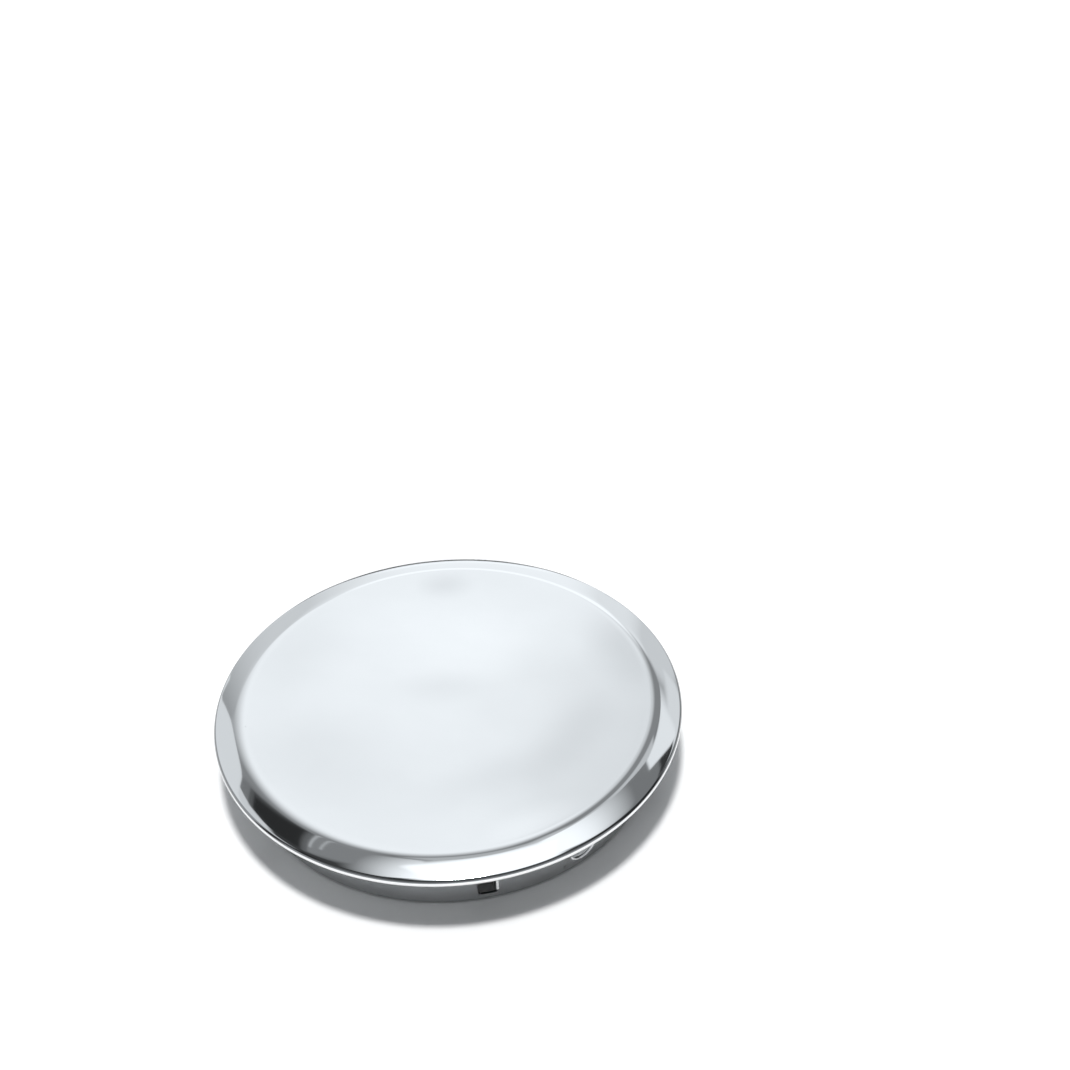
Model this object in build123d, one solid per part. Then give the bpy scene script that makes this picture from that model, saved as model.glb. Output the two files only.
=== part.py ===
import os
from math import asin, atan, atan2, cos, degrees, radians, sin, sqrt, tan

from build123d import *

# A push-in wheel centre cap of plated pressed steel, face up, standing on the free lip of its collar.
# The origin is at the middle of the lip, +Z points out of the face, and sizes are in millimetres.

# Overall sizes
collar_diameter = 82.6
rim_overhang = 5.7
seat_height = 10.6

# Sheet thicknesses
cover_sheet = 0.6
collar_sheet = 0.6
strip_sheet = 0.5

# Cover: nearly flat face, round shoulder, slightly crowned bevel and hem
border_width = 6.5
face_crown_height = 0.2
shoulder_radius = 9.0
bevel_angle = 18.0
bevel_crown_angle = 6.0
hem_return = 1.3
hem_slack = 0.04

# Collar: foot and lip radii on the outer skin, and the flat of the lip
foot_radius = 0.9
lip_radius = 0.9
lip_return = 0.4
flange_clearance = 0.03

# Strips, slots and dimples repeat round the axis
strip_count = 3
first_rivet_angle = 90.0
slot_offset_angle = 28.0

# Slots in the collar, nearer to the lip than the strips
slot_width = 4.1
slot_height = 6.9
slot_corner_radius = 0.9
slot_drop = 0.55

# Dimples in the collar, with plain wall left beside their bends
dimple_depth = 2.3
dimple_draft_angle = 18.0
dimple_bend_radius = 0.35
dimple_land = 0.1

# Spring strips and their barbs, which ramp outwards from the lip's side to a straight tip
strip_width = 6.8
strip_flat_length = 6.4
strip_wall_gap = 0.4
barb_bend_radius = 0.6
barb_slot_gap = 0.3
barb_end_gap = 0.75
barb_reach = 2.4
barb_ramp_height = 2.7

# Rivets
rivet_shank_diameter = 2.4
rivet_hole_clearance = 0.1
rivet_head_diameter = 4.9
rivet_head_clearance = 0.05
rivet_head_height = 1.5
rivet_head_land = 0.35
rivet_tail_diameter = 3.6
rivet_tail_height = 0.8
rivet_bore_diameter = 1.6
rivet_bore_depth = 1.3

# Radii and levels that follow from the sizes above
collar_radius = collar_diameter / 2
wall_inner_radius = collar_radius - collar_sheet
rim_radius = collar_radius + rim_overhang
face_radius = rim_radius - border_width
hem_radius = cover_sheet + (collar_sheet + hem_slack) / 2
hem_centre_radius = rim_radius - hem_radius
flange_level = seat_height + cover_sheet
wall_height = flange_level - foot_radius - lip_radius
grip_height = lip_radius + wall_height / 2
slot_middle_height = grip_height - slot_drop
dimple_floor_radius = collar_radius - dimple_depth
strip_seat_radius = dimple_floor_radius - collar_sheet
rivet_hole_diameter = rivet_shank_diameter + rivet_hole_clearance

# Dimple's floor, which takes the rivet's head, and its bends, which are limited by the height of the wall
dimple_slope = tan(radians(dimple_draft_angle))
dimple_bend_tangent = tan(radians((90 - dimple_draft_angle) / 2))
dimple_head_seat = rivet_head_diameter / 2 + rivet_head_clearance
dimple_side = dimple_slope * dimple_depth + dimple_bend_tangent * collar_sheet
dimple_bend_space = wall_height / 2 - dimple_land - dimple_head_seat - dimple_side
dimple_bend = min(dimple_bend_radius, dimple_bend_space / (1 + dimple_bend_tangent))
dimple_floor_diameter = 2 * (dimple_head_seat + dimple_bend)


def bent_path(start, heading, bends, shift):
    """Edges of straight runs and tangent bends, all moved sideways to the left by shift.

    Each bend is (run, radius, turn): a straight run, then an arc whose turn is positive to the left.
    """
    along = Vector(cos(radians(heading)), sin(radians(heading)))
    point = Vector(*start) + Vector(-along.Y, along.X) * shift
    edges = []
    for run, radius, turn in bends:
        if run > 0:
            line = Line(point, point + along * run)
            edges.append(line)
            point = line @ 1
        if turn:
            skin_radius = radius - shift if turn > 0 else radius + shift
            arc = JernArc(point, along, skin_radius, turn)
            edges.append(arc)
            point = arc @ 1
            along = arc % 1
    return edges


def sheet_section(start, heading, bends, thickness):
    """Face of a bent sheet, whose thickness lies to the left of the path where it is positive."""
    skin = bent_path(start, heading, bends, 0)
    back = bent_path(start, heading, bends, thickness)
    ends = [
        Line(skin[0] @ 0, back[0] @ 0),
        Line(skin[-1] @ 1, back[-1] @ 1),
    ]
    return make_face(skin + back + ends)


def turned_ring(section):
    """Ring or disc made by turning a section, drawn as radius and height, round the axis."""
    return revolve(Plane.XZ * section, Axis.Z, 360)


def around(angle):
    """Place at an angle round the axis, with X pointing outwards."""
    return Rot(0, 0, angle)


def radial_plane(radius, height):
    """Plane across the X direction at a radius and a height, with its own X level."""
    return Plane(origin=(radius, 0, height), x_dir=(0, 1, 0), z_dir=(1, 0, 0))


rivet_angles = [first_rivet_angle + 360 / strip_count * i for i in range(strip_count)]
slot_angles = [angle + side * slot_offset_angle for angle in rivet_angles for side in (-1, 1)]


def face_cover():
    """Stamped cover, walked on its outer skin from the free edge of the hem to the middle of the face."""
    face_crown_radius = (face_radius**2 + face_crown_height**2) / (2 * face_crown_height)
    face_edge_angle = degrees(asin(face_radius / face_crown_radius))
    bevel_top_angle = bevel_angle - bevel_crown_angle / 2
    bevel_foot_angle = bevel_angle + bevel_crown_angle / 2
    shoulder_width = shoulder_radius * (sin(radians(bevel_top_angle)) - sin(radians(face_edge_angle)))
    bevel_foot_radius = hem_centre_radius + hem_radius * sin(radians(bevel_foot_angle))
    bevel_steepening = sin(radians(bevel_foot_angle)) - sin(radians(bevel_top_angle))
    bevel_crown_radius = (bevel_foot_radius - face_radius - shoulder_width) / bevel_steepening
    bends = [
        (hem_return, hem_radius, 180 - bevel_foot_angle),
        (0, bevel_crown_radius, bevel_crown_angle),
        (0, shoulder_radius, bevel_top_angle - face_edge_angle),
        (0, face_crown_radius, face_edge_angle),
    ]
    return turned_ring(sheet_section((hem_centre_radius - hem_return, seat_height), 0, bends, cover_sheet))


def collar_ring():
    """Flange, foot, wall and lip, walked on the outer skin from the edge of the flange to the lip."""
    flange_radius = hem_centre_radius - flange_clearance
    flange_run = flange_radius - collar_radius - foot_radius
    bends = [
        (flange_run, foot_radius, 90),
        (wall_height, lip_radius, -90),
        (lip_return, 0, 0),
    ]
    return turned_ring(sheet_section((flange_radius, flange_level), 180, bends, -collar_sheet))


def dimple_cone(floor_radius, floor_half_width, top_radius):
    """Cone of a dimple's side, from its floor out to a radius."""
    rise = top_radius - floor_radius
    top_half_width = floor_half_width + dimple_slope * rise
    cone = Cone(floor_half_width, top_half_width, rise, align=(Align.CENTER, Align.CENTER, Align.MIN))
    return radial_plane(floor_radius, grip_height) * cone


def dimple_bump():
    """Inner side of a dimple, one sheet thickness outside its hollow."""
    side_step = collar_sheet * (sqrt(1 + dimple_slope**2) - dimple_slope)
    half_width = dimple_floor_diameter / 2 + side_step
    return dimple_cone(strip_seat_radius, half_width, wall_inner_radius + collar_sheet / 3)


def dimple_hollow():
    """Outer side of a dimple, with its edge run out past the wall."""
    return dimple_cone(dimple_floor_radius, dimple_floor_diameter / 2, collar_radius + collar_sheet)


def slot_cut():
    """Slot through the wall, with rounded corners."""
    outline = RectangleRounded(slot_width, slot_height, slot_corner_radius)
    depth = wall_inner_radius - collar_sheet
    return extrude(radial_plane(depth, slot_middle_height) * outline, collar_radius + collar_sheet - depth)


def rivet_hole(length):
    """Hole for a rivet's shank through a dimple's floor and the strip behind it."""
    start = radial_plane(strip_seat_radius - length / 2, grip_height)
    return extrude(start * Circle(rivet_hole_diameter / 2), length)


def dimple_edges(collar, level):
    """Edges that run right round the dimples, whose outermost points lie at a radius, rivet holes apart."""
    near = collar_sheet / 100
    edges = []
    for angle in rivet_angles:
        for edge in collar.edges():
            box = (around(-angle) * edge).bounding_box()
            middle = box.center()
            centred = abs(middle.Y) < near and abs(middle.Z - grip_height) < near
            if centred and abs(box.max.X - level) < near and box.size.Z > rivet_head_diameter:
                edges.append(edge)
    return edges


def bend_dimples(collar):
    """Round the dimples' edges as bent sheet, with the outer radius one thickness more than the inner."""
    outer_radius = dimple_bend + collar_sheet
    levels = [
        (collar_radius, outer_radius),
        (wall_inner_radius, dimple_bend),
        (dimple_floor_radius, dimple_bend),
        (strip_seat_radius, outer_radius),
    ]
    for level, radius in levels:
        collar = fillet(dimple_edges(collar, level), radius)
    return collar


def retaining_collar():
    """Collar with its slots, and its dimples pressed in as deep as the strips need."""
    collar = collar_ring()
    for angle in rivet_angles:
        collar += around(angle) * dimple_bump()
        collar -= around(angle) * dimple_hollow()
    collar = bend_dimples(collar)
    for angle in rivet_angles:
        collar -= around(angle) * rivet_hole(4 * collar_sheet)
    for angle in slot_angles:
        collar -= around(angle) * slot_cut()
    return collar


def barb_trim():
    """Metal cut away above and below a barb, in the slot's own direction: it leaves a ramp and a straight tip."""
    neck = wall_inner_radius - collar_sheet / 4
    tip = collar_radius + barb_reach
    past_tip = tip + barb_reach
    half_height = slot_height / 2 - barb_end_gap
    ramp_top = barb_ramp_height - half_height
    barb = Polyline(
        (neck, -half_height),
        (collar_radius, -half_height),
        (tip, ramp_top),
        (past_tip, ramp_top),
        (past_tip, half_height),
        (neck, half_height),
        close=True,
    )
    blank = Pos((neck + past_tip) / 2, 0) * Rectangle(past_tip - neck, 2 * strip_width)
    face = Plane.XZ * Pos(0, slot_middle_height) * (blank - make_face(barb))
    return extrude(face, slot_width / 2, both=True)


def half_strip():
    """Strip from its rivet to one barb, walked on the face towards the wall, with the rivet on +X."""
    bend_along = wall_inner_radius + barb_bend_radius - strip_wall_gap
    bend_across = barb_slot_gap - slot_width / 2 - barb_bend_radius
    slot_turn = radians(slot_offset_angle)
    bend_x = bend_along * cos(slot_turn) - bend_across * sin(slot_turn)
    bend_y = bend_along * sin(slot_turn) + bend_across * cos(slot_turn)
    flat = strip_flat_length / 2
    over_x = bend_x - strip_seat_radius
    over_y = bend_y - flat
    sweep_radius = (over_x**2 + over_y**2 - barb_bend_radius**2) / (2 * (barb_bend_radius - over_x))
    sweep_angle = degrees(atan2(over_y, over_x + sweep_radius))
    barb_run = collar_radius + barb_reach - bend_along
    bends = [
        (flat, sweep_radius, sweep_angle),
        (0, barb_bend_radius, slot_offset_angle - 90 - sweep_angle),
        (barb_run, 0, 0),
    ]
    section = sheet_section((strip_seat_radius, 0), 90, bends, strip_sheet)
    strip = extrude(Pos(0, 0, grip_height - strip_width / 2) * section, strip_width)
    return strip - around(slot_offset_angle) * Pos(0, bend_across, 0) * barb_trim()


def spring_strip(angle):
    """Whole strip, with its rivet at an angle round the axis."""
    half = half_strip()
    strip = half + mirror(half, Plane.XZ)
    strip -= rivet_hole(4 * strip_sheet + collar_sheet)
    return around(angle) * strip


def rivet(angle):
    """Domed head on the dimple's floor, shank, and hollow tail rolled over on the strip."""
    head_edge = rivet_head_diameter / 2
    shank = rivet_shank_diameter / 2
    tail = rivet_tail_diameter / 2
    bore = rivet_bore_diameter / 2
    seat = dimple_floor_radius
    land = seat + rivet_head_land
    crown = seat + rivet_head_height
    back = strip_seat_radius - strip_sheet
    end = back - rivet_tail_height
    dome_rise = crown - land
    dome_radius = (head_edge**2 + dome_rise**2) / (2 * dome_rise)
    dome_half = dome_radius * sin(atan(head_edge / (dome_radius - dome_rise)) / 2)
    dome_x = crown - dome_radius + sqrt(dome_radius**2 - dome_half**2)
    roll = (tail - bore) / 2
    edges = [
        Line((end + rivet_bore_depth, 0), (crown, 0)),
        ThreePointArc((crown, 0), (dome_x, dome_half), (land, head_edge)),
        Polyline((land, head_edge), (seat, head_edge), (seat, shank), (back, shank), (back, tail)),
        ThreePointArc((back, tail), (end, tail - roll), (back, bore)),
        Polyline((back, bore), (end + rivet_bore_depth, bore), (end + rivet_bore_depth, 0)),
    ]
    section = Plane.XZ * Pos(0, grip_height) * make_face(edges)
    axis = Axis((0, 0, grip_height), (1, 0, 0))
    return around(angle) * revolve(section, axis, 360)


def main():
    nodes = {
        "face_cover": face_cover(),
        "retaining_collar": retaining_collar(),
        "rivets": Compound(children=[rivet(angle) for angle in rivet_angles]),
    }
    for i, angle in enumerate(rivet_angles):
        nodes["spring_strip_%d" % (i + 1)] = spring_strip(angle)
    os.makedirs("parts", exist_ok=True)
    for name, shape in nodes.items():
        export_step(shape, "parts/%s.step" % name)


main()
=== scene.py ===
import math

import bmesh
import bpy
from mathutils import Matrix, Vector


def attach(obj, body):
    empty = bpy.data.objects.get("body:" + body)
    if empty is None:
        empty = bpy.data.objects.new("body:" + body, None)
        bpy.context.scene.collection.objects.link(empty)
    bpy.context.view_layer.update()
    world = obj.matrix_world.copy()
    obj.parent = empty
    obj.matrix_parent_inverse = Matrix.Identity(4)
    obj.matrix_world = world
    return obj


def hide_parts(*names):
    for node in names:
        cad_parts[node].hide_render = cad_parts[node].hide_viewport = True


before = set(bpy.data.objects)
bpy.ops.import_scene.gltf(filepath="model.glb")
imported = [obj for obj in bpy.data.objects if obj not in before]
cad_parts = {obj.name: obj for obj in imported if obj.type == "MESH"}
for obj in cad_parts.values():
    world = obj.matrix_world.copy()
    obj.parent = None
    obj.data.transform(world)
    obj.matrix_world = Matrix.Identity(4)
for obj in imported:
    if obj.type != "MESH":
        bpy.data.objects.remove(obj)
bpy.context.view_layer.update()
mm = 0.001
scene = bpy.context.scene
print("frame loaded:", len(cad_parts), "nodes")

# Camera, in the photo's own axes: x right, y away, origin where the picture's centre meets the floor
cameraView = {
    "lens": 71.97,  # mm
    "sensor": 36,  # mm
    "clip": (0.01, 50),  # metres
    "pitch": 38.91,  # degrees down
    "roll": -2.773,  # degrees, the right side stands higher
    "distance": 490.83 * mm,  # eye to the floor at the picture's centre
    "capRight": -19.152 * mm,  # the cap's axis on the floor
    "capAway": -68.558 * mm,
    "capTurn": 22.1,  # degrees from the photo's axes to the cap's
}


def addCamera(view):
    pitch = math.radians(view["pitch"])
    roll = math.radians(view["roll"])
    turn = Matrix.Rotation(math.radians(view["capTurn"]), 3, "Z")
    forward = Vector((0, math.cos(pitch), -math.sin(pitch)))
    levelRight = Vector((1, 0, 0))
    levelUp = levelRight.cross(forward)
    right = levelRight * math.cos(roll) + levelUp * math.sin(roll)
    up = levelUp * math.cos(roll) - levelRight * math.sin(roll)
    eye = -forward * view["distance"] - Vector((view["capRight"], view["capAway"], 0))
    axes = [turn @ v for v in (right, up, -forward)]
    data = bpy.data.cameras.new("photoCamera")
    data.lens = view["lens"]
    data.sensor_width = view["sensor"]
    data.clip_start, data.clip_end = view["clip"]
    camera = bpy.data.objects.new("photoCamera", data)
    place = Matrix(axes).transposed().to_4x4()
    place.translation = turn @ eye
    camera.matrix_world = place
    scene.collection.objects.link(camera)
    scene.camera = camera


addCamera(cameraView)
print("camera set")

# Shapes, in mm until a point is placed
near = 0.001  # mm or degrees, for points that lie on an edge
levelDigits = 5  # decimals of a mm, for levels that are the same
mergeGap = 0.004 * mm  # points closer than this become one
cutEdge = {"segments": 2, "angle": 60}  # how a cut edge is broken, and how sharp an edge has to be for it


def sine(degrees):
    return math.sin(math.radians(degrees))


def ringPoint(angle, radius, level):
    a = math.radians(angle)
    return (radius * math.cos(a) * mm, radius * math.sin(a) * mm, level * mm)


def turnBetween(angle, other):
    # degrees, from -180 to 180
    return (angle - other + 180) % 360 - 180


def walkSkin(start, heading, bends, shift):
    # points along straight runs and tangent bends, moved to the left by shift
    angle = math.radians(heading)
    along = Vector((math.cos(angle), math.sin(angle)))
    point = Vector(start) + Vector((-along.y, along.x)) * shift
    points = [point.copy()]
    for run, radius, turn, steps in bends:
        if run > 0:
            point = point + along * run
            points.append(point.copy())
        if turn:
            side = 1 if turn > 0 else -1
            centre = point + Vector((-along.y, along.x)) * (side * radius - shift)
            spoke = point - centre
            for step in range(1, steps + 1):
                bent = spoke.copy()
                bent.rotate(Matrix.Rotation(math.radians(turn * step / steps), 2))
                points.append(centre + bent)
            point = points[-1].copy()
            along.rotate(Matrix.Rotation(math.radians(turn), 2))
    return points


def toMesh(name, bm):
    mesh = bpy.data.meshes.new(name)
    bm.to_mesh(mesh)
    bm.free()
    return mesh


def latheMesh(name, section, segments):
    # section is a closed loop of radius and level, turned round the axis
    bm = bmesh.new()
    rings = []
    for radius, level in section:
        count = 1 if radius < near else segments
        rings.append([bm.verts.new(ringPoint(360 * i / segments, radius, level)) for i in range(count)])
    for k in range(len(rings)):
        first, second = rings[k], rings[(k + 1) % len(rings)]
        if len(first) == 1 and len(second) == 1:
            continue
        for i in range(segments):
            j = (i + 1) % segments
            corners = [ring[n % len(ring)] for ring, n in ((first, i), (first, j), (second, j), (second, i))]
            bm.faces.new(list(dict.fromkeys(corners)))  # a point on the axis is named once
    bmesh.ops.recalc_face_normals(bm, faces=bm.faces)
    return toMesh(name, bm)


def cleanSkin(bm):
    bmesh.ops.remove_doubles(bm, verts=bm.verts, dist=mergeGap)
    bmesh.ops.delete(bm, geom=[v for v in bm.verts if not v.link_faces], context="VERTS")
    bmesh.ops.recalc_face_normals(bm, faces=bm.faces)


def thicken(name, mesh, sheet, edge):
    # gives a skin its sheet thickness, away from its face, and breaks the cut edges
    worker = bpy.data.objects.new(name + "Skin", mesh)
    scene.collection.objects.link(worker)
    wall = worker.modifiers.new("sheet", "SOLIDIFY")
    wall.thickness = sheet * mm
    wall.offset = -1
    wall.use_even_offset = True
    broken = worker.modifiers.new("edge", "BEVEL")
    broken.width = edge * mm
    broken.segments = cutEdge["segments"]
    broken.use_clamp_overlap = False
    broken.limit_method = "ANGLE"
    broken.angle_limit = math.radians(cutEdge["angle"])
    graph = bpy.context.evaluated_depsgraph_get()
    solid = bpy.data.meshes.new_from_object(worker.evaluated_get(graph))
    solid.name = name
    bpy.data.objects.remove(worker)
    return solid


def smoothByAngle(mesh, degrees):
    mesh.shade_smooth()
    mesh.set_sharp_from_angle(angle=math.radians(degrees))


def addPiece(name, mesh, material, slot, *nodes):
    piece = bpy.data.objects.new(name, mesh)
    scene.collection.objects.link(piece)
    mesh.materials.clear()
    mesh.materials.append(material)
    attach(piece, "root")
    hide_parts(*nodes)


# Material helpers
noiseMiddle = 0.5  # of what noise gives


def calc(tree, operation, first, second=0):
    node = tree.nodes.new("ShaderNodeMath")
    node.operation = operation
    for socket, value in zip(node.inputs, (first, second)):
        if isinstance(value, (int, float)):
            socket.default_value = value
        else:
            tree.links.new(value, socket)
    return node.outputs[0]


def fade(tree, value, zero, full, low=0, high=1):
    # soft step, from low at zero to high at full
    node = tree.nodes.new("ShaderNodeMapRange")
    node.interpolation_type = "SMOOTHSTEP"
    tree.links.new(value, node.inputs["Value"])
    rising = zero < full
    node.inputs["From Min"].default_value = min(zero, full)
    node.inputs["From Max"].default_value = max(zero, full)
    node.inputs["To Min"].default_value = low if rising else high
    node.inputs["To Max"].default_value = high if rising else low
    return node.outputs[0]


def splitAxes(tree, vector):
    node = tree.nodes.new("ShaderNodeSeparateXYZ")
    tree.links.new(vector, node.inputs[0])
    return node.outputs


def distanceFrom(tree, vector, middle=(0, 0, 0)):
    node = tree.nodes.new("ShaderNodeVectorMath")
    node.operation = "DISTANCE"
    tree.links.new(vector, node.inputs[0])
    node.inputs[1].default_value = middle
    return node.outputs["Value"]


def hypotenuse(tree, first, second):
    squares = [calc(tree, "MULTIPLY", side, side) for side in (first, second)]
    return calc(tree, "SQRT", calc(tree, "ADD", *squares))


def mixColor(tree, factor, first, second):
    node = tree.nodes.new("ShaderNodeMix")
    node.data_type = "RGBA"
    tree.links.new(factor, node.inputs["Factor"])
    for socket, value in zip((node.inputs[6], node.inputs[7]), (first, second)):  # the two colours
        if isinstance(value, tuple):
            socket.default_value = (*value, 1)
        else:
            tree.links.new(value, socket)
    return node.outputs[2]  # the mixed colour


def noise(tree, place, scale, detail, stretch=(1, 1, 1)):
    # scale in waves for each metre
    spread = tree.nodes.new("ShaderNodeMapping")
    spread.inputs["Scale"].default_value = stretch
    tree.links.new(place, spread.inputs["Vector"])
    node = tree.nodes.new("ShaderNodeTexNoise")
    node.inputs["Scale"].default_value = scale
    node.inputs["Detail"].default_value = detail
    tree.links.new(spread.outputs[0], node.inputs["Vector"])
    return node.outputs["Fac"]


def newMetal(name, color, roughness):
    material = bpy.data.materials.new(name)
    material.use_nodes = True
    tree = material.node_tree
    shader = tree.nodes["Principled BSDF"]
    shader.inputs["Base Color"].default_value = (*color, 1)
    shader.inputs["Metallic"].default_value = 1
    shader.inputs["Roughness"].default_value = roughness
    place = tree.nodes.new("ShaderNodeTexCoord").outputs["Object"]
    return material, tree, shader, place


def addBump(tree, shader, height, depth):
    bump = tree.nodes.new("ShaderNodeBump")
    bump.inputs["Strength"].default_value = 1
    bump.inputs["Distance"].default_value = depth * mm
    tree.links.new(height, bump.inputs["Height"])
    tree.links.new(bump.outputs[0], shader.inputs["Normal"])


def seenRays(tree):
    # the camera's own rays, and those together with what reflections and clear pieces show
    rays = tree.nodes.new("ShaderNodeLightPath").outputs
    seen = rays["Is Camera Ray"]
    for ray in ("Is Glossy Ray", "Is Transmission Ray"):
        seen = calc(tree, "MAXIMUM", seen, rays[ray])
    return rays["Is Camera Ray"], seen


# Cover: one stamping, crowned face to bevel, with its edge folded over the collar's flange
cover = {
    "sheet": 0.6,
    "rimRadius": 47.0,
    "seat": 10.6,  # level of the fold's underside
    "flangeSheet": 0.6,  # what the fold holds
    "hemSlack": 0.04,
    "hemReturn": 1.3,
    "faceRadius": 40.5,
    "faceCrown": 0.2,
    "shoulder": 9.0,
    "bevel": 18.0,  # degrees at its middle
    "bevelCrown": 6.0,  # degrees from its top to its foot
    "top": 14.08,
    "steps": {"hem": 28, "bevel": 8, "shoulder": 16, "face": 24},
    "segments": 384,
    "sharpAngle": 40,
    "bright": (0.905, 0.91, 0.915),
    # the darker colour, for the plating's random clouds and for the painted reflection patches
    "dull": (0.72, 0.726, 0.732),
    "dullShare": 0.44,  # away from the patches
    "reflectionPatches": {  # soft ovals of painted reflection, lighter or darker patches in the face's colour, in mm and degrees, and what they add to the dull share
        "middle": {"at": (3, 19), "size": (40, 20), "turn": 0, "adds": -0.44},
        "rightLobe": {"at": (19, 1), "size": (12, 18), "turn": 0, "adds": -0.24},
        "nearLeft": {"at": (-15, -25), "size": (34, 22), "turn": -15, "adds": 0.36},
        "leftEdge": {"at": (-35, 2), "size": (14, 22), "turn": 0, "adds": 0.30},
        "rightBand": {"at": (27, -2), "size": (20, 8), "turn": 80, "adds": 0.30},
        "nearBand": {"at": (16, -18), "size": (18, 9), "turn": 43, "adds": 0.28},
        "farRight": {"at": (29, 26), "size": (18, 11), "turn": -50, "adds": 0.66},
        "nearRight": {"at": (29, -26), "size": (14, 7), "turn": 45, "adds": -0.50},
        "farDarkPatch": {"at": (-14, 33), "size": (8, 6), "turn": 20, "adds": 0.45},
        "centre": {"at": (-1, 4), "size": (14, 6.5), "turn": 22, "adds": 0.25},
    },
    "patchRough": 0.03,
    "cloudScale": 34,  # fine clouds between the patches
    "cloudDetail": 5,
    "cloudStretch": (1, 1.4, 1),
    "cloudAdds": 0.5,
    "faceEdge": (39.5, 41.5),  # radii where the face's finish turns into the bevel's
    "faceRough": 0.09,
    "bevelRough": 0.045,
    "insideRough": 0.3,
    "insideFade": (0.02, -0.05),  # how far a surface faces up, from outside to inside
    "waveScale": 55,
    "waveDetail": 1,
    "waveDepth": 0.06,
    "faceWave": 0.8,  # share of the bevel's waves
    "foldPaintedDarkColor": (0.34, 0.345, 0.35),  # painted reflection: the rim's fold is painted dark along its upper side, for the dark room in front that it reflects
    "foldPaintedDarkHeights": (11.84, 11.90, 12.28, 12.36),  # its lower and upper soft ends
    "speckColor": (0.42, 0.42, 0.42),
    "speckSoft": (1.3, 0.6),  # shares of its radius, from the edge to the full colour
    "specks": [
        {"at": (-35.4, -19.5), "radius": 0.22},
        {"at": (-33.1, -24.1), "radius": 0.17},
        {"at": (-35.9, 1.6), "radius": 0.17},
        {"at": (-35.4, -7.3), "radius": 0.14},
    ],
}


def coverSection(size):
    face, steps = size["faceRadius"], size["steps"]
    hemRadius = size["sheet"] + (size["flangeSheet"] + size["hemSlack"]) / 2
    hemCentre = size["rimRadius"] - hemRadius
    faceRound = (face**2 + size["faceCrown"]**2) / (2 * size["faceCrown"])
    faceEdge = math.degrees(math.asin(face / faceRound))
    bevelTop = size["bevel"] - size["bevelCrown"] / 2
    bevelFoot = size["bevel"] + size["bevelCrown"] / 2
    shoulderWidth = size["shoulder"] * (sine(bevelTop) - sine(faceEdge))
    bevelWidth = hemCentre + hemRadius * sine(bevelFoot) - face - shoulderWidth
    bevelRound = bevelWidth / (sine(bevelFoot) - sine(bevelTop))
    bends = [  # run, radius, turn, steps
        (size["hemReturn"], hemRadius, 180 - bevelFoot, steps["hem"]),
        (0, bevelRound, size["bevelCrown"], steps["bevel"]),
        (0, size["shoulder"], bevelTop - faceEdge, steps["shoulder"]),
        (0, faceRound, faceEdge, steps["face"]),
    ]
    start = (hemCentre - size["hemReturn"], size["seat"])
    skin = walkSkin(start, 0, bends, 0)
    back = walkSkin(start, 0, bends, size["sheet"])
    for line in (skin, back):
        line[-1].x = 0  # both end on the axis
    return skin + back[::-1]


def dullCloudsAndReflectionPatches(tree, place, look):
    # what the clouds and the painted reflection patches add to the dull share
    clouds = noise(tree, place, look["cloudScale"], look["cloudDetail"], look["cloudStretch"])
    adds = calc(tree, "MULTIPLY", calc(tree, "SUBTRACT", clouds, noiseMiddle), look["cloudAdds"])
    # painted reflection: placed ovals that lighten or darken the face's colour
    for patch in look["reflectionPatches"].values():
        oval = tree.nodes.new("ShaderNodeMapping")
        oval.vector_type = "TEXTURE"  # moves the oval's middle to zero and its edge to one
        oval.inputs["Location"].default_value = (patch["at"][0] * mm, patch["at"][1] * mm, 0)
        oval.inputs["Rotation"].default_value = (0, 0, math.radians(patch["turn"]))
        oval.inputs["Scale"].default_value = (patch["size"][0] * mm, patch["size"][1] * mm, 1)
        tree.links.new(place, oval.inputs["Vector"])
        away = distanceFrom(tree, oval.outputs[0])
        adds = calc(tree, "ADD", adds, fade(tree, away, 1, 0, 0, patch["adds"]))
    return adds


def speckSpots(tree, place, look):
    spots = None
    for speck in look["specks"]:
        away = distanceFrom(tree, place, (speck["at"][0] * mm, speck["at"][1] * mm, look["top"] * mm))
        outer, inner = [speck["radius"] * share * mm for share in look["speckSoft"]]
        spot = fade(tree, away, outer, inner)
        spots = spot if spots is None else calc(tree, "MAXIMUM", spots, spot)
    return spots


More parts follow.
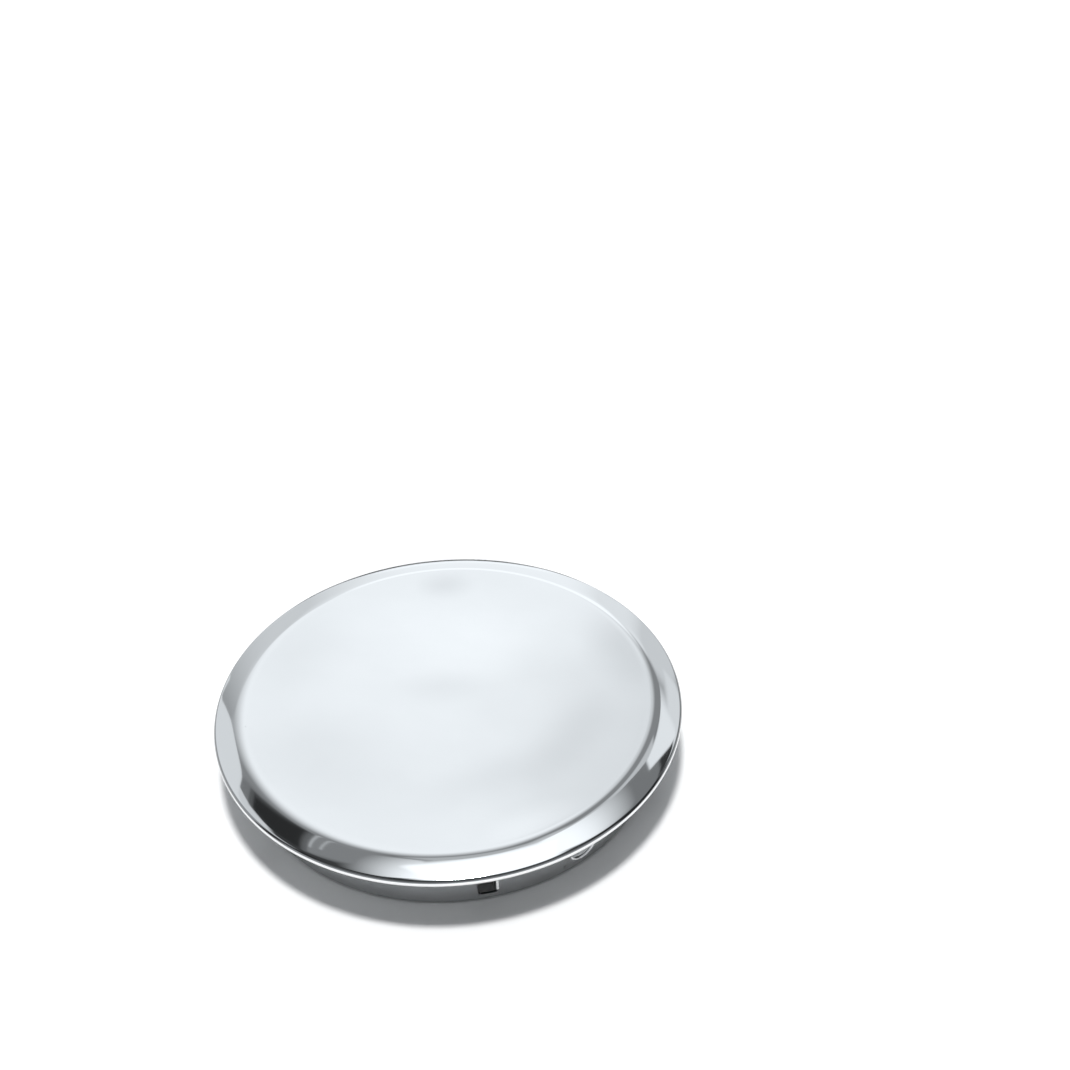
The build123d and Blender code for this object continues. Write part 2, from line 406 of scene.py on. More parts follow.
def coverPlating(look):
    material, tree, shader, place = newMetal("coverChrome", look["bright"], look["faceRough"])
    x, y, z = splitAxes(tree, place)
    radius = hypotenuse(tree, x, y)
    faceEdge = [r * mm for r in look["faceEdge"]]
    face = fade(tree, radius, *faceEdge, 1, 0)
    normal = tree.nodes.new("ShaderNodeNewGeometry").outputs["True Normal"]
    inside = fade(tree, splitAxes(tree, normal)[2], *look["insideFade"])

    adds = calc(tree, "MULTIPLY", dullCloudsAndReflectionPatches(tree, place, look), face)
    color = mixColor(tree, calc(tree, "ADD", look["dullShare"], adds), look["bright"], look["dull"])
    color = mixColor(tree, speckSpots(tree, place, look), color, look["speckColor"])
    # painted reflection: a dark band along the fold's upper side
    lowest, low, high, highest = [level * mm for level in look["foldPaintedDarkHeights"]]
    fold = calc(tree, "MULTIPLY", fade(tree, z, lowest, low), fade(tree, z, highest, high))
    color = mixColor(tree, fold, color, look["foldPaintedDarkColor"])
    tree.links.new(color, shader.inputs["Base Color"])

    rough = fade(tree, radius, *faceEdge, look["faceRough"], look["bevelRough"])
    rough = calc(tree, "ADD", rough, calc(tree, "MULTIPLY", inside, look["insideRough"]))
    rough = calc(tree, "ADD", rough, calc(tree, "MULTIPLY", adds, look["patchRough"]))
    tree.links.new(rough, shader.inputs["Roughness"])

    share = fade(tree, radius, *faceEdge, look["faceWave"], 1)
    wave = noise(tree, place, look["waveScale"], look["waveDetail"])
    addBump(tree, shader, calc(tree, "MULTIPLY", wave, share), look["waveDepth"])
    return material


mesh = latheMesh("faceCover", coverSection(cover), cover["segments"])
smoothByAngle(mesh, cover["sharpAngle"])
addPiece("faceCover", mesh, coverPlating(cover), "cover_chrome", "face_cover")
print("cover made:", len(mesh.polygons), "faces")

# Collar: flange, foot, wall and lip of one stamped sheet, with six slots and three dimples
collar = {
    "sheet": cover["flangeSheet"],
    "radius": 41.3,
    "flangeRadius": 46.05,
    "flangeLevel": cover["seat"] + cover["sheet"],  # it lies on the fold
    "flangeSteps": 4,
    "bend": 0.9,  # foot and lip, on the outer skin
    "bendSteps": 10,
    "lipReturn": 0.4,
    "columnStep": 1.25,  # degrees between plain columns of the mesh
    "columnClear": 1.25 / 3,  # degrees from a plain column to one through a slot or a dimple
    "slotHalf": (2.05, 3.45),  # half of the width and half of the height
    "slotLevel": 5.05,
    "slotCorner": 0.9,
    "slotCornerSteps": 3,
    "slotOffset": 28.0,  # degrees from a rivet
    "rivets": (90.0, 210.0, 330.0),  # degrees round the axis
    "rivetHole": 1.25,
    "dimpleLevel": 5.6,
    "dimpleFloor": 39.0,
    "dimpleFlat": 2.85,
    "dimpleDraft": 18.0,
    "dimpleBends": (0.95, 0.35),  # at the wall and at the floor
    "dimpleSteps": {"wall": 8, "floor": 6, "flat": 3},
    "dimplePatch": 4.6,  # half of the square patch round a dimple
    "patchCells": 12,
    "edge": 0.035,
    "sharpAngle": 35,
    "color": (0.80, 0.81, 0.82),
    "stain": (0.70, 0.71, 0.72),
    "stainScale": 82.5,
    "stainDetail": 4,
    "stainFade": (0.42, 0.75),
    "lipShadeColor": (0.47, 0.475, 0.48),  # painted shade: darker towards the lip, standing in for the shadowed floor that the lower wall reflects
    "lipShadeFade": (1.0, 4.6),
    "rough": (0.11, 0.19),
    "lineScale": 55,  # drawing lines round the wall, many times closer upwards
    "lineDetail": 3,
    "lineStretch": (0.5, 0.5, 45),
    "lineDepth": 0.004,
}


def bearingOf(across, radius):
    return math.degrees(math.asin(across / radius))


def slotLines(half, size):
    # grid lines through a slot's rounded corners, as offsets from its middle
    steps = size["slotCornerSteps"]
    quarter = [math.radians(90 * k / steps) for k in range(steps + 1)]
    lines = [half - size["slotCorner"] * (1 - math.cos(a)) for a in quarter]
    return [side * line for line in lines for side in (-1, 1)]


def dimpleRings(size):
    # distance from the dimple's axis and radius from the cap's axis, from the wall in to the rivet's hole
    steps = size["dimpleSteps"]
    large, small = size["dimpleBends"]
    wall, floor = size["radius"], size["dimpleFloor"]
    swing = 90 - size["dimpleDraft"]
    tangent = math.tan(math.radians(swing / 2))
    footEdge = size["dimpleFlat"]
    wallEdge = footEdge + math.tan(math.radians(size["dimpleDraft"])) * (wall - floor)
    rings = []
    for step in range(steps["wall"] + 1):
        a = math.radians(swing * step / steps["wall"])
        rings.append((wallEdge + large * (tangent - math.sin(a)), wall - large * (1 - math.cos(a))))
    for step in range(steps["floor"] + 1):
        a = math.radians(swing * (1 - step / steps["floor"]))
        rings.append((footEdge - small * (tangent - math.sin(a)), floor + small * (1 - math.cos(a))))
    flat, hole = rings[-1][0], size["rivetHole"]
    return rings + [(hole + (flat - hole) * k / steps["flat"], floor) for k in reversed(range(steps["flat"]))]


def collarColumns(size, slots, patchLines):
    # bearings through the dimples' patches and the slots, and plain ones between them
    wall = size["radius"]
    columns = [a + bearingOf(v, wall) for a in size["rivets"] for v in patchLines]
    columns += [a + bearingOf(v, wall) for a in slots for v in slotLines(size["slotHalf"][0], size)]
    columns = [a % 360 for a in columns]
    for k in range(int(360 / size["columnStep"])):
        plain = k * size["columnStep"]
        if all(abs(turnBetween(plain, a)) > size["columnClear"] for a in columns):
            columns.append(plain)
    return sorted(columns)


def collarRows(size, patchLines):
    # radius and level of each row, from the flange's edge down to the lip
    wall, bend, steps = size["radius"], size["bend"], size["bendSteps"]
    rim, top = size["flangeRadius"], size["flangeLevel"]
    quarter = [math.radians(90 * k / steps) for k in range(steps + 1)]
    levels = [size["slotLevel"] + v for v in slotLines(size["slotHalf"][1], size)]
    levels += [size["dimpleLevel"] + v for v in patchLines]
    rows = [(rim + (wall + bend - rim) * k / size["flangeSteps"], top) for k in range(size["flangeSteps"])]
    rows += [(wall + bend - bend * math.sin(a), top - bend + bend * math.cos(a)) for a in quarter]
    levels = {round(level, levelDigits) for level in levels}  # equal levels fall together
    rows += [(wall, level) for level in sorted(levels, reverse=True)]
    rows += [(wall - bend + bend * math.cos(a), bend - bend * math.sin(a)) for a in quarter]
    return rows + [(wall - bend - size["lipReturn"], 0)]


def addDimple(bm, size, angle, patchLines):
    # rings from a square patch of the wall down to the rivet's hole
    wall, floor, level = size["radius"], size["dimpleFloor"], size["dimpleLevel"]
    side = [(v, -size["dimplePatch"]) for v in patchLines[:-1]]
    square = side + [(-b, a) for a, b in side] + [(-a, -b) for a, b in side] + [(b, -a) for a, b in side]
    rings = [[bm.verts.new(ringPoint(angle + bearingOf(a, wall), wall, level + b)) for a, b in square]]
    for far, deep in dimpleRings(size):
        share = (deep - floor) / (wall - floor)  # of the wall's roundness
        ring = []
        for a, b in square:
            across, up = far * a / math.hypot(a, b), far * b / math.hypot(a, b)
            out = deep - (wall - math.sqrt(wall**2 - across**2)) * share
            bearing = angle + math.degrees(math.atan2(across, out))
            ring.append(bm.verts.new(ringPoint(bearing, math.hypot(out, across), level + up)))
        rings.append(ring)
    for first, second in zip(rings, rings[1:]):
        for n in range(len(square)):
            m = (n + 1) % len(square)
            bm.faces.new([first[n], first[m], second[m], second[n]])


def collarMesh(size):
    wall, patch, cells = size["radius"], size["dimplePatch"], size["patchCells"]
    foot = size["flangeLevel"] - size["bend"]
    halfWide, halfHigh = size["slotHalf"]
    corner = size["slotCorner"]
    slots = [a + side * size["slotOffset"] for a in size["rivets"] for side in (-1, 1)]
    patchLines = [patch * (2 * k / cells - 1) for k in range(cells + 1)]
    columns = collarColumns(size, slots, patchLines)
    rows = collarRows(size, patchLines)

    def inSlot(angle, radius, level):
        # inside a slot's rounded outline or on it
        if radius < wall - near or level > foot:
            return False
        for slot in slots:
            turn = turnBetween(angle, slot)
            across, up = abs(wall * sine(turn)), abs(level - size["slotLevel"])
            if abs(turn) > 90 or across > halfWide + near or up > halfHigh + near:
                continue
            past = (max(across - halfWide + corner, 0), max(up - halfHigh + corner, 0))
            if math.hypot(*past) <= corner + near:
                return True
        return False

    def inPatch(angle, radius, level):
        if radius < wall - near or abs(level - size["dimpleLevel"]) > patch + near:
            return False
        turns = [abs(turnBetween(angle, a)) for a in size["rivets"]]
        return min(turns) < bearingOf(patch, wall) + near

    bm = bmesh.new()
    grid = [[bm.verts.new(ringPoint(a, *row)) for a in columns] for row in rows]
    cut = [[inSlot(a, *row) for a in columns] for row in rows]
    pressed = [[inPatch(a, *row) for a in columns] for row in rows]
    for i in range(len(rows) - 1):
        for j in range(len(columns)):
            k = (j + 1) % len(columns)
            cell = [(i, j), (i, k), (i + 1, k), (i + 1, j)]
            if all(pressed[p][q] for p, q in cell):
                continue
            outside = [n for n, (p, q) in enumerate(cell) if not cut[p][q]]
            if not outside:
                continue
            if len(outside) == 1:  # the cell is cut by a slot's round corner
                cell = [cell[(outside[0] + n) % 4] for n in (-1, 0, 1)]
            bm.faces.new([grid[p][q] for p, q in cell])
    for angle in size["rivets"]:
        addDimple(bm, size, angle, patchLines)
    cleanSkin(bm)
    wallFaces = [f for f in bm.faces if f.calc_center_median().z < foot * mm]
    outer = max(wallFaces, key=lambda f: f.calc_center_median().xy.length)
    if outer.normal.xy.dot(outer.calc_center_median().xy) < 0:  # the skin faces outwards
        bmesh.ops.reverse_faces(bm, faces=bm.faces)
    return toMesh("collar", bm)


def collarPlating(look):
    material, tree, shader, place = newMetal("collarChrome", look["color"], look["rough"][0])
    lines = noise(tree, place, look["lineScale"], look["lineDetail"], look["lineStretch"])
    stain = fade(tree, noise(tree, place, look["stainScale"], look["stainDetail"]), *look["stainFade"])
    plated = mixColor(tree, stain, look["color"], look["stain"])
    # painted shade: the wall darkens towards the lip
    lip = fade(tree, splitAxes(tree, place)[2], *[level * mm for level in look["lipShadeFade"]])
    tree.links.new(mixColor(tree, lip, look["lipShadeColor"], plated), shader.inputs["Base Color"])
    tree.links.new(fade(tree, stain, 0, 1, *look["rough"]), shader.inputs["Roughness"])
    addBump(tree, shader, lines, look["lineDepth"])
    return material


mesh = thicken("retainingCollar", collarMesh(collar), collar["sheet"], collar["edge"])
smoothByAngle(mesh, collar["sharpAngle"])
addPiece("retainingCollar", mesh, collarPlating(collar), "collar_chrome", "retaining_collar")
print("collar made:", len(mesh.polygons), "faces")


# Copies round the axis, for the strips and the rivets
def ringTree(name):
    tree = bpy.data.node_groups.new(name, "GeometryNodeTree")
    addSocket = tree.interface.new_socket
    addSocket("Geometry", in_out="INPUT", socket_type="NodeSocketGeometry")
    kinds = {
        "Count": "NodeSocketInt",
        "First Angle": "NodeSocketFloat",
        "Angle Step": "NodeSocketFloat",
        "Level": "NodeSocketFloat",
        "Material": "NodeSocketMaterial",
    }
    ids = {key: addSocket(key, in_out="INPUT", socket_type=kind).identifier for key, kind in kinds.items()}
    addSocket("Geometry", in_out="OUTPUT", socket_type="NodeSocketGeometry")
    nodes, link = tree.nodes, tree.links.new
    given = nodes.new("NodeGroupInput").outputs
    points = nodes.new("GeometryNodeMeshLine")
    lift = nodes.new("ShaderNodeCombineXYZ")
    index = nodes.new("GeometryNodeInputIndex")
    angle = nodes.new("ShaderNodeMath")
    angle.operation = "MULTIPLY_ADD"
    spin = nodes.new("ShaderNodeCombineXYZ")
    copies = nodes.new("GeometryNodeInstanceOnPoints")
    real = nodes.new("GeometryNodeRealizeInstances")
    paint = nodes.new("GeometryNodeSetMaterial")
    link(given["Count"], points.inputs["Count"])
    link(given["Level"], lift.inputs["Z"])
    link(lift.outputs[0], points.inputs["Start Location"])
    points.inputs["Offset"].default_value = (0, 0, 0)
    link(index.outputs[0], angle.inputs[0])
    link(given["Angle Step"], angle.inputs[1])
    link(given["First Angle"], angle.inputs[2])
    link(angle.outputs[0], spin.inputs["Z"])
    link(points.outputs[0], copies.inputs["Points"])
    link(given["Geometry"], copies.inputs["Instance"])
    link(spin.outputs[0], copies.inputs["Rotation"])
    link(copies.outputs[0], real.inputs[0])
    link(real.outputs[0], paint.inputs["Geometry"])
    link(given["Material"], paint.inputs["Material"])
    link(paint.outputs[0], nodes.new("NodeGroupOutput").inputs[0])
    return tree, ids


def copiesRound(name, mesh, material, level):
    # one copy at each rivet's angle
    angles = collar["rivets"]
    tree, ids = ringTree(name + "Ring")
    worker = bpy.data.objects.new(name + "Source", mesh)
    scene.collection.objects.link(worker)
    ring = worker.modifiers.new("ring", "NODES")
    ring.node_group = tree
    ring[ids["Count"]] = len(angles)
    ring[ids["First Angle"]] = math.radians(angles[0])
    ring[ids["Angle Step"]] = math.radians(angles[1] - angles[0])
    ring[ids["Level"]] = level * mm
    ring[ids["Material"]] = material
    graph = bpy.context.evaluated_depsgraph_get()
    result = bpy.data.meshes.new_from_object(worker.evaluated_get(graph))
    result.name = name
    worker.modifiers.remove(ring)
    bpy.data.objects.remove(worker)
    return result


# Spring strips: flat at the rivet, swept to the wall, and bent out through two slots as barbs
strip = {
    "sheet": 0.5,
    "width": 6.8,
    "level": collar["dimpleLevel"],
    "seat": collar["dimpleFloor"] - collar["sheet"],  # on the dimple's back
    "flat": 3.2,  # half of the flat at the rivet
    "sweepSteps": 24,
    "wallGap": 0.4,
    "slotGap": 0.3,
    "bend": 0.6,
    "bendSteps": 10,
    "reach": 2.4,  # of the barb, outside the wall
    "rampHeight": 2.7,
    "barbRows": 6,
    "endGap": 0.75,  # from the barb to each end of the slot
    "neck": 0.15,  # inside the wall's inner face, where the strip narrows to the barb
    "edge": 0.05,
    "sharpAngle": 35,
    "color": (0.62, 0.63, 0.64),
    "dull": (0.50, 0.505, 0.51),
    "dullFade": (0.35, 0.7),
    "rough": (0.22, 0.38),
    "roughFade": (0.3, 0.7),
    "grainScale": 90,
    "grainDetail": 4,
    "grainStretch": (0.6, 0.6, 40),  # rolled along the strip, so its grain runs level
    "grainDepth": 0.006,
}


def stripPath(size, collar):
    # half of the strip from above, rivet to barb's tip, with the barb's direction and where its bend starts
    wall = collar["radius"]
    turn = math.radians(collar["slotOffset"])
    along = wall - collar["sheet"] + size["bend"] - size["wallGap"]
    across = size["slotGap"] - collar["slotHalf"][0] - size["bend"]
    bendX = along * math.cos(turn) - across * math.sin(turn)
    bendY = along * math.sin(turn) + across * math.cos(turn)
    overX, overY = bendX - size["seat"], bendY - size["flat"]
    sweep = (overX**2 + overY**2 - size["bend"]**2) / (2 * (size["bend"] - overX))
    sweepAngle = math.degrees(math.atan2(overY, overX + sweep))
    path = walkSkin((size["seat"], 0), 90, [
        (size["flat"], sweep, sweepAngle, size["sweepSteps"]),
        (0, size["bend"], collar["slotOffset"] - 90 - sweepAngle, size["bendSteps"]),
    ], 0)
    bendStart = len(path) - size["bendSteps"]
    outwards = Vector((math.cos(turn), math.sin(turn)))
    bent = path[-1]
    for reach in (0, size["reach"] / 2, size["reach"]):
        path.append(bent + outwards * (wall + reach - along))
    return path, outwards, bendStart


def stripMesh(size, collar):
    wall, rows = collar["radius"], size["barbRows"]
    path, outwards, bendStart = stripPath(size, collar)
    neck = wall - collar["sheet"] - size["neck"]
    barbStart = next(n for n in range(bendStart, len(path)) if path[n].dot(outwards) >= neck)
    halfBarb = collar["slotHalf"][1] - size["endGap"]
    barbTop = collar["slotLevel"] + halfBarb
    barbFoot = collar["slotLevel"] - halfBarb
    stripFoot = size["level"] - size["width"] / 2
    stripTop = size["level"] + size["width"] / 2

    def levels(n):
        foot = barbFoot
        if n >= barbStart:
            foot += size["rampHeight"] * max(path[n].dot(outwards) - wall, 0) / size["reach"]
        return [stripFoot] + [foot + (barbTop - foot) * k / rows for k in range(rows + 1)] + [stripTop]

    bm = bmesh.new()
    walk = [(n, -1) for n in range(len(path) - 1, 0, -1)] + [(n, 1) for n in range(len(path))]
    lines = []
    for n, side in walk:
        x, y = path[n]
        lines.append((n, [bm.verts.new((x * mm, side * y * mm, level * mm)) for level in levels(n)]))
    for (n, first), (m, second) in zip(lines, lines[1:]):
        shown = range(1, rows + 1) if min(n, m) >= barbStart else range(rows + 2)
        for k in shown:
            bm.faces.new([first[k], second[k], second[k + 1], first[k + 1]])
    cleanSkin(bm)
    middle = min(bm.faces, key=lambda f: abs(f.calc_center_median().y))
    if middle.normal.x < 0:  # the skin faces the wall
        bmesh.ops.reverse_faces(bm, faces=bm.faces)
    return toMesh("strip", bm)


def springSteel(look):
    material, tree, shader, place = newMetal("springSteel", look["color"], look["rough"][0])
    grain = noise(tree, place, look["grainScale"], look["grainDetail"], look["grainStretch"])
    color = mixColor(tree, fade(tree, grain, *look["dullFade"]), look["color"], look["dull"])
    tree.links.new(color, shader.inputs["Base Color"])
    tree.links.new(fade(tree, grain, *look["roughFade"], *look["rough"]), shader.inputs["Roughness"])
    addBump(tree, shader, grain, look["grainDepth"])
    return material


steel = springSteel(strip)
mesh = thicken("strip", stripMesh(strip, collar), strip["sheet"], strip["edge"])
mesh = copiesRound("springStrips", mesh, steel, 0)
smoothByAngle(mesh, strip["sharpAngle"])
addPiece("springStrips", mesh, steel, "spring_steel", "spring_strip_1", "spring_strip_2", "spring_strip_3")
print("strips made:", len(mesh.polygons), "faces")

# Rivets: domed head in the dimple, hollow tail rolled over on the strip
rivet = {
    "level": collar["dimpleLevel"],
    "seat": collar["dimpleFloor"],
    "back": strip["seat"] - strip["sheet"],  # the strip's inner face
    "shank": 1.2,
    "head": 2.45,
    "headHeight": 1.5,
    "land": 0.35,
    "edge": 0.1,
    "domeSteps": 14,
    "tail": 1.8,
    "tailHeight": 0.8,
    "rollSteps": 12,
    "bore": 0.8,
    "boreDepth": 1.3,
    "segments": 64,
    "sharpAngle": 40,
    "color": (0.70, 0.71, 0.72),
    "scuff": (0.55, 0.555, 0.56),
    "scuffScale": 420,
    "scuffDetail": 4,
    "scuffFade": (0.45, 0.75),
    "scuffDepth": 0.01,
    "rough": (0.12, 0.3),
}


def rivetMesh(size):
    seat, back, head = size["seat"], size["back"], size["head"]
    crown, land = seat + size["headHeight"], seat + size["land"]
    rise = crown - land
    dome = (head**2 + rise**2) / (2 * rise)
    section = []
    for k in range(size["domeSteps"]):
        a = math.asin(head / dome) * k / size["domeSteps"]
        section.append((dome * math.sin(a), crown - dome * (1 - math.cos(a))))
    section += [(head, land), (head, seat + size["edge"]), (head - size["edge"], seat)]
    section += [(size["shank"], seat), (size["shank"], back), (size["tail"], back)]
    roll = (size["tail"] - size["bore"]) / 2
    for k in range(1, size["rollSteps"]):
        a = math.pi * k / size["rollSteps"]
        section.append((size["bore"] + roll * (1 + math.cos(a)), back - size["tailHeight"] * math.sin(a)))
    bottom = back - size["tailHeight"] + size["boreDepth"]
    section += [(size["bore"], back), (size["bore"], bottom), (0, bottom)]
    mesh = latheMesh("rivet", section, size["segments"])
    mesh.transform(Matrix.Rotation(math.radians(90), 4, "Y"))  # its axis now points outwards
    return mesh


def rivetSteel(look):
    material, tree, shader, place = newMetal("rivetSteel", look["color"], look["rough"][0])
    scuff = fade(tree, noise(tree, place, look["scuffScale"], look["scuffDetail"]), *look["scuffFade"])
    tree.links.new(mixColor(tree, scuff, look["color"], look["scuff"]), shader.inputs["Base Color"])
    tree.links.new(fade(tree, scuff, 0, 1, *look["rough"]), shader.inputs["Roughness"])
    addBump(tree, shader, scuff, look["scuffDepth"])
    return material


nickel = rivetSteel(rivet)
mesh = copiesRound("rivetSet", rivetMesh(rivet), nickel, rivet["level"])
smoothByAngle(mesh, rivet["sharpAngle"])
addPiece("rivetSet", mesh, nickel, "rivet_steel", "rivets")
print("rivets made:", len(mesh.polygons), "faces")

# Floor: plain white, with a little of its own light outside the cap's shadow; this light fades out round the
# cap, which paints shadow under the rim on top of the real one
floorLook = {
    "reach": 3.0,  # metres
    "color": (0.86, 0.86, 0.86),
    "glow": 0.18,  # for the camera, and for what the metal and any glass show
    "paintedShadowRadii": (46.0 * mm, 52.0 * mm),  # painted shadow: none under the rim, all of it outside
}


def addFloor(look):
    reach = look["reach"]
    corners = [(-reach, -reach, 0), (reach, -reach, 0), (reach, reach, 0), (-reach, reach, 0)]
    mesh = bpy.data.meshes.new("floor")
    mesh.from_pydata(corners, [], [(0, 1, 2, 3)])
    floor = bpy.data.objects.new("floor", mesh)
    scene.collection.objects.link(floor)
    paint = bpy.data.materials.new("floorPaint")
    paint.use_nodes = True
    tree = paint.node_tree
    shader = tree.nodes["Principled BSDF"]
    shader.inputs["Base Color"].default_value = (*look["color"], 1)
    shader.inputs["Roughness"].default_value = 1
    shader.inputs["Specular IOR Level"].default_value = 0
    shader.inputs["Emission Color"].default_value = (1, 1, 1, 1)
    place = tree.nodes.new("ShaderNodeTexCoord").outputs["Object"]
    # painted shadow: the floor's own light is taken away within these radii round the cap
    outside = fade(tree, distanceFrom(tree, place), *look["paintedShadowRadii"])
    glow = calc(tree, "MULTIPLY", calc(tree, "MULTIPLY", seenRays(tree)[1], outside), look["glow"])
    tree.links.new(glow, shader.inputs["Emission Strength"])
    mesh.materials.append(paint)


addFloor(floorLook)

# Studio: pale walls behind and beside the cap, a soft box above it and a dim room on the camera's side.
# Bearings are in degrees from the photo's right, anticlockwise from above, and heights in degrees.
# Soft is the fade outside each end: low bearing, high bearing, bottom, top. Corner rounds the low end's top.
# Lean slants the low and the high end, in degrees of bearing for each degree of height over leanFrom.
studio = {
    "tint": (0.95, 0.995, 1.03),
    "room": 0.05,
    "lamp": {"strength": 2.5, "angle": 9.0},  # straight above
    "ceiling": {  # places and half sizes on a level ceiling one unit up
        "right": 0.10, "away": 0.02, "turn": 14.0, "long": 0.20, "wide": 0.19, "soft": (0.12, 0.09),
        "heights": (30, 40), "leastUp": 0.02, "light": 1.3,
    },
    "backdrop": {  # lights nothing, and is only seen
        "bearings": (-160, -22), "heights": (3, 20), "soft": (15, 12, 2, 12), "light": 0.72,
    },
    "leanFrom": 40,
    "walls": {
        "surround": {"bearings": (62, 132), "heights": (3, 66), "soft": (20, 9, 2, 6), "light": 0.27},
        "window": {"bearings": (88, 100), "heights": (34, 54), "soft": (24, 45, 12, 20), "light": 1.06},
        "sill": {"bearings": (80, 97), "heights": (27, 33), "soft": (10, 12, 7, 8), "light": 1.20},
        "lowWindow": {"bearings": (82, 93), "heights": (3, 30), "soft": (22, 34, 2, 8), "light": 1.05},
        "horizon": {"bearings": (84, 96), "heights": (3, 5), "soft": (16, 16, 2, 9), "light": 1.13},
        "lowWall": {"bearings": (60, 104), "heights": (3, 29), "soft": (10, 20, 2, 9), "light": 0.70},
        "lowLeft": {"bearings": (100, 110), "heights": (3, 33), "soft": (8, 30, 2, 9), "light": 0.70},
        "lowMid": {"bearings": (73, 90), "heights": (8, 30), "soft": (13, 10, 6, 6), "light": 0.89},
        "lowRight": {"bearings": (36, 52), "heights": (28, 37), "soft": (8, 8, 8, 3), "light": 0.80,
         "lean": (0, 0.733)},
        "lowFar": {"bearings": (20, 66), "heights": (3, 24), "soft": (10, 8, 2, 8), "light": 0.47},
        "right": {"bearings": (46.5, 57.4), "heights": (37.5, 48), "soft": (1.5, 2, 9, 1), "light": 0.92,
         "lean": (0, 0.765)},
        "gap": {"bearings": (10, 60), "heights": (40, 60), "soft": (8, 8, 8, 6), "light": 0.21},
        "curtain": {"bearings": (52, 58), "heights": (46, 68), "soft": (0.8, 9, 3, 5), "light": 0.60},
        "valance": {"bearings": (52.5, 64), "heights": (66, 74), "soft": (2, 18, 6, 4), "light": 0.60},
        "left": {"bearings": (125, 175), "heights": (3, 42), "soft": (0.8, 8, 2, 0.8), "light": 0.79,
         "corner": 12},
        "leftFoot": {"bearings": (121.5, 175), "heights": (3, 16), "soft": (1.2, 8, 2, 6), "light": 0.79},
        "leftGap": {"bearings": (128, 144), "heights": (42, 46.5), "soft": (6, 3, 2, 1.5), "light": 0.20},
        "leftEdge": {"bearings": (136.9, 190), "heights": (41.5, 50), "soft": (1, 8, 1, 3.5), "light": 0.70,
         "lean": (-1.2, 0)},
        "upperLeft": {"bearings": (120, 155), "heights": (60, 76), "soft": (12, 9, 2, 6), "light": 0.25},
        "apron": {"bearings": (60, 105), "heights": (70.5, 90), "soft": (8, 22, 6, 3), "light": 0.51},
        "overLeft": {"bearings": (120, 178), "heights": (84, 95), "soft": (10, 10, 20, 3), "light": 1.25},
        "overRight": {"bearings": (22, 52), "heights": (70, 95), "soft": (8, 12, 22, 3), "light": 1.24},
        "fill": {"bearings": (-150, -30), "heights": (10, 50), "soft": (20, 20, 8, 15), "light": 0.22},
        "flagTop": {"bearings": (132, 150), "heights": (60.9, 61.2), "soft": (3, 5, 0.4, 0.5), "light": 0.50},
        "flagRim": {"bearings": (131, 149), "heights": (63.0, 63.3), "soft": (3, 3, 0.4, 0.6), "light": 0.46},
    },
    "flags": {  # dark cloths before the walls: light is the share that they leave
        "flag": {"bearings": (136, 138.3), "heights": (46, 60.3), "soft": (1, 0.8, 0.8, 0.6), "light": 0.55,
         "lean": (0, -0.95)},
        "sliver": {"bearings": (34, 45.3), "heights": (39.5, 44.5), "soft": (4, 0.6, 1, 1.5), "light": 0.2},
        "haze": {"bearings": (82, 88), "heights": (43, 48), "soft": (5, 5, 3, 4), "light": 0.84},
    },
}


def wallMask(tree, wall, bearing, height, overLean):
    low, high = wall["bearings"]
    bottom, top = wall["heights"]
    soft = wall["soft"]
    leanLow, leanHigh = wall.get("lean", (0, 0))
    corner = wall.get("corner", 0)

    def slanted(lean):
        return calc(tree, "ADD", bearing, calc(tree, "MULTIPLY", overLean, lean)) if lean else bearing

    mask = fade(tree, slanted(leanLow), low - soft[0], low)
    mask = calc(tree, "MULTIPLY", mask, fade(tree, slanted(leanHigh), high + soft[1], high))
    mask = calc(tree, "MULTIPLY", mask, fade(tree, height, bottom - soft[2], bottom))
    mask = calc(tree, "MULTIPLY", mask, fade(tree, height, top + soft[3], top))
    if corner:
        side = calc(tree, "MAXIMUM", calc(tree, "SUBTRACT", low + corner, bearing), 0)
        rise = calc(tree, "MAXIMUM", calc(tree, "SUBTRACT", height, top - corner), 0)
        rounded = fade(tree, hypotenuse(tree, side, rise), corner + soft[3], corner)
        mask = calc(tree, "MULTIPLY", mask, rounded)
    return mask


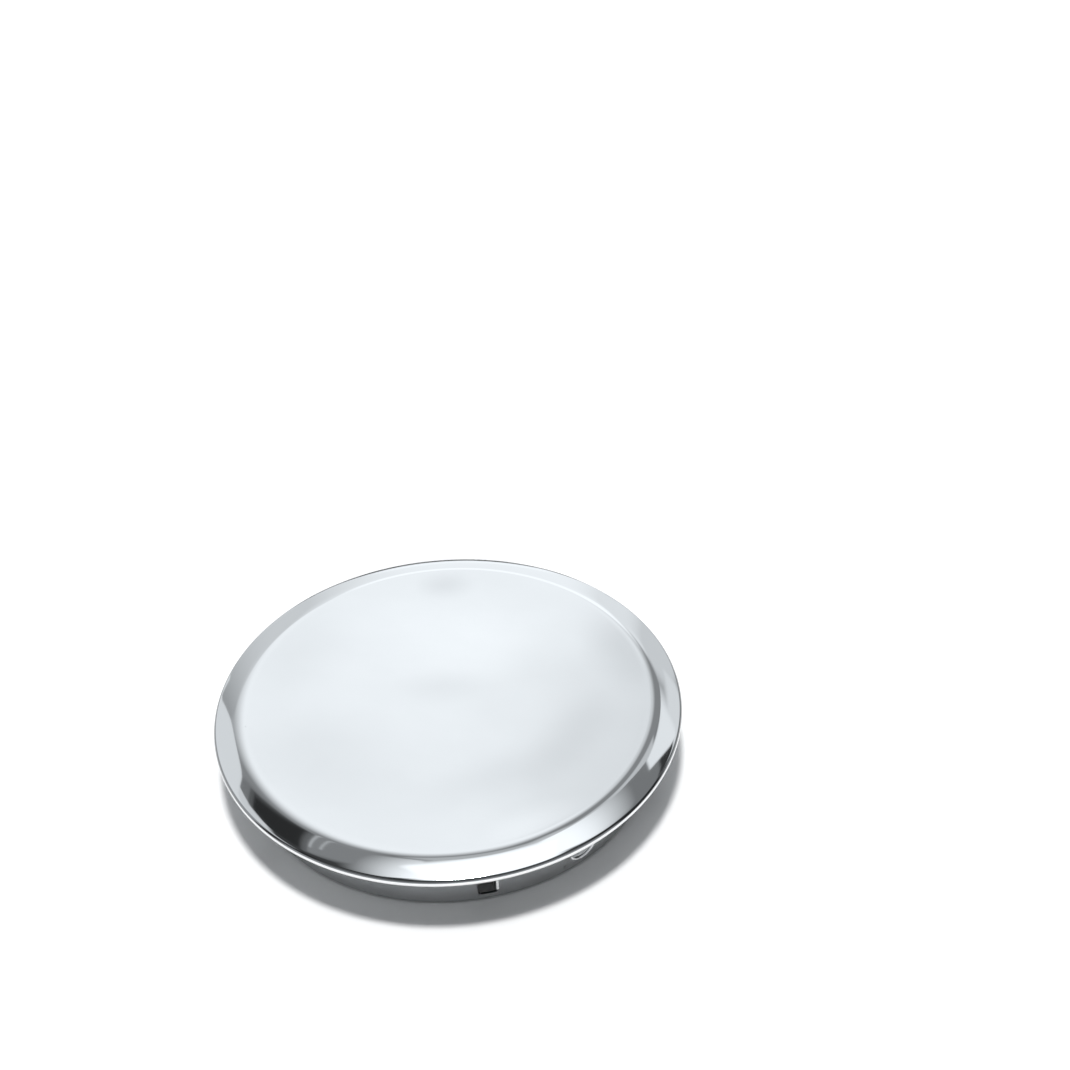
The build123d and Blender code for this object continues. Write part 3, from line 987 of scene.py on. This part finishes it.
def softBox(tree, box, axes, height):
    x, y, z = axes
    turn = math.radians(box["turn"])
    up = calc(tree, "MAXIMUM", z, box["leastUp"])
    right = calc(tree, "SUBTRACT", calc(tree, "DIVIDE", x, up), box["right"])
    away = calc(tree, "SUBTRACT", calc(tree, "DIVIDE", y, up), box["away"])
    along = calc(tree, "MULTIPLY", right, math.cos(turn))
    along = calc(tree, "ADD", along, calc(tree, "MULTIPLY", away, math.sin(turn)))
    across = calc(tree, "MULTIPLY", away, math.cos(turn))
    across = calc(tree, "SUBTRACT", across, calc(tree, "MULTIPLY", right, math.sin(turn)))
    mask = fade(tree, height, *box["heights"])
    for side, half, soft in zip((along, across), (box["long"], box["wide"]), box["soft"]):
        mask = calc(tree, "MULTIPLY", mask, fade(tree, calc(tree, "ABSOLUTE", side), half + soft, half))
    return calc(tree, "MULTIPLY", mask, box["light"])


def addStudio(look):
    world = bpy.data.worlds.new("studio")
    world.use_nodes = True
    tree = world.node_tree
    face = tree.nodes.new("ShaderNodeVectorRotate")
    face.rotation_type = "Z_AXIS"
    face.inputs["Angle"].default_value = -math.radians(cameraView["capTurn"])
    tree.links.new(tree.nodes.new("ShaderNodeTexCoord").outputs["Generated"], face.inputs["Vector"])
    axes = splitAxes(tree, face.outputs[0])
    bearing = calc(tree, "DEGREES", calc(tree, "ARCTAN2", axes[1], axes[0]))
    height = calc(tree, "DEGREES", calc(tree, "ARCSINE", axes[2]))
    overLean = calc(tree, "SUBTRACT", height, look["leanFrom"])

    def lit(wall, light):
        return calc(tree, "MULTIPLY", wallMask(tree, wall, bearing, height, overLean), light)

    total = look["room"]
    for wall in look["walls"].values():
        total = calc(tree, "MAXIMUM", total, lit(wall, wall["light"]))
    for flag in look["flags"].values():
        total = calc(tree, "MULTIPLY", total, calc(tree, "SUBTRACT", 1, lit(flag, 1 - flag["light"])))
    total = calc(tree, "MAXIMUM", total, softBox(tree, look["ceiling"], axes, height))
    direct, seen = seenRays(tree)
    backdrop = lit(look["backdrop"], look["backdrop"]["light"])
    total = calc(tree, "MAXIMUM", total, calc(tree, "MULTIPLY", seen, backdrop))
    total = calc(tree, "MAXIMUM", total, direct)  # white behind the floor's edge
    background = tree.nodes["Background"]
    tree.links.new(total, background.inputs["Strength"])
    background.inputs["Color"].default_value = (*look["tint"], 1)
    scene.world = world

    lamp = bpy.data.lights.new("topLamp", "SUN")
    lamp.energy = look["lamp"]["strength"]
    lamp.angle = math.radians(look["lamp"]["angle"])
    scene.collection.objects.link(bpy.data.objects.new("topLamp", lamp))


addStudio(studio)
scene.view_settings.view_transform = "Standard"
print("floor and light set")
